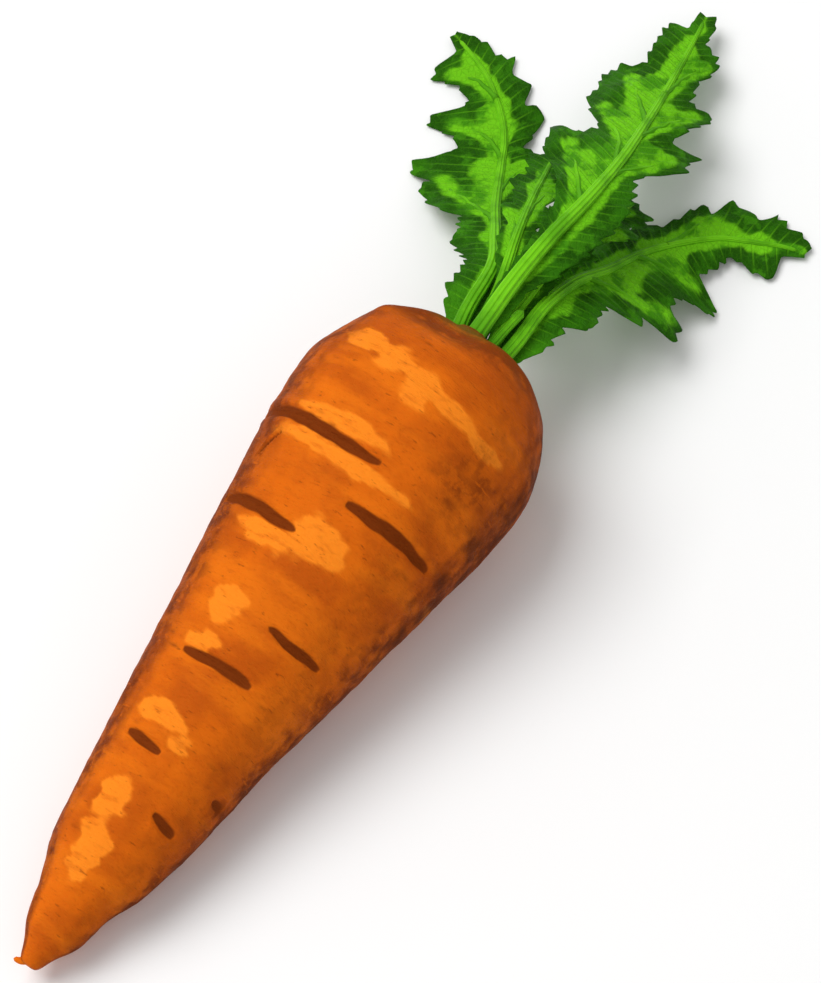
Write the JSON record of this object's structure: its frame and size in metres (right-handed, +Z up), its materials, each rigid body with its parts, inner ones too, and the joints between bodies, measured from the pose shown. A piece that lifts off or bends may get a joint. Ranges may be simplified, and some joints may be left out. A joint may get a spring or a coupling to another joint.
{
  "type": "carrot",
  "caption": "Whole fresh carrot with its leaves: a stout tapering orange root lying on its side, with lobed green fronds fanned out from the crown",
  "frame": {"origin": "on the surface that the carrot lies on, under the middle of its bounding box", "axes": "+X from the tip of the root to the leaves, +Y to the left, +Z up"},
  "size_m": [0.261, 0.0938, 0.0535],
  "materials": {
    "root_skin": "satin",
    "leaf_blade": "satin",
    "leaf_stalk": "satin"
  },
  "bodies": {
    "root": {"carrot_root": "root_skin", "left_blade": "leaf_blade", "middle_blade": "leaf_blade", "right_blade": "leaf_blade", "inner_left_blade": "leaf_blade", "inner_right_blade": "leaf_blade", "left_stalk": "leaf_stalk", "middle_stalk": "leaf_stalk", "right_stalk": "leaf_stalk", "inner_left_stalk": "leaf_stalk", "inner_right_stalk": "leaf_stalk", "short_stalk": "leaf_stalk"}
  },
  "joints": []
}
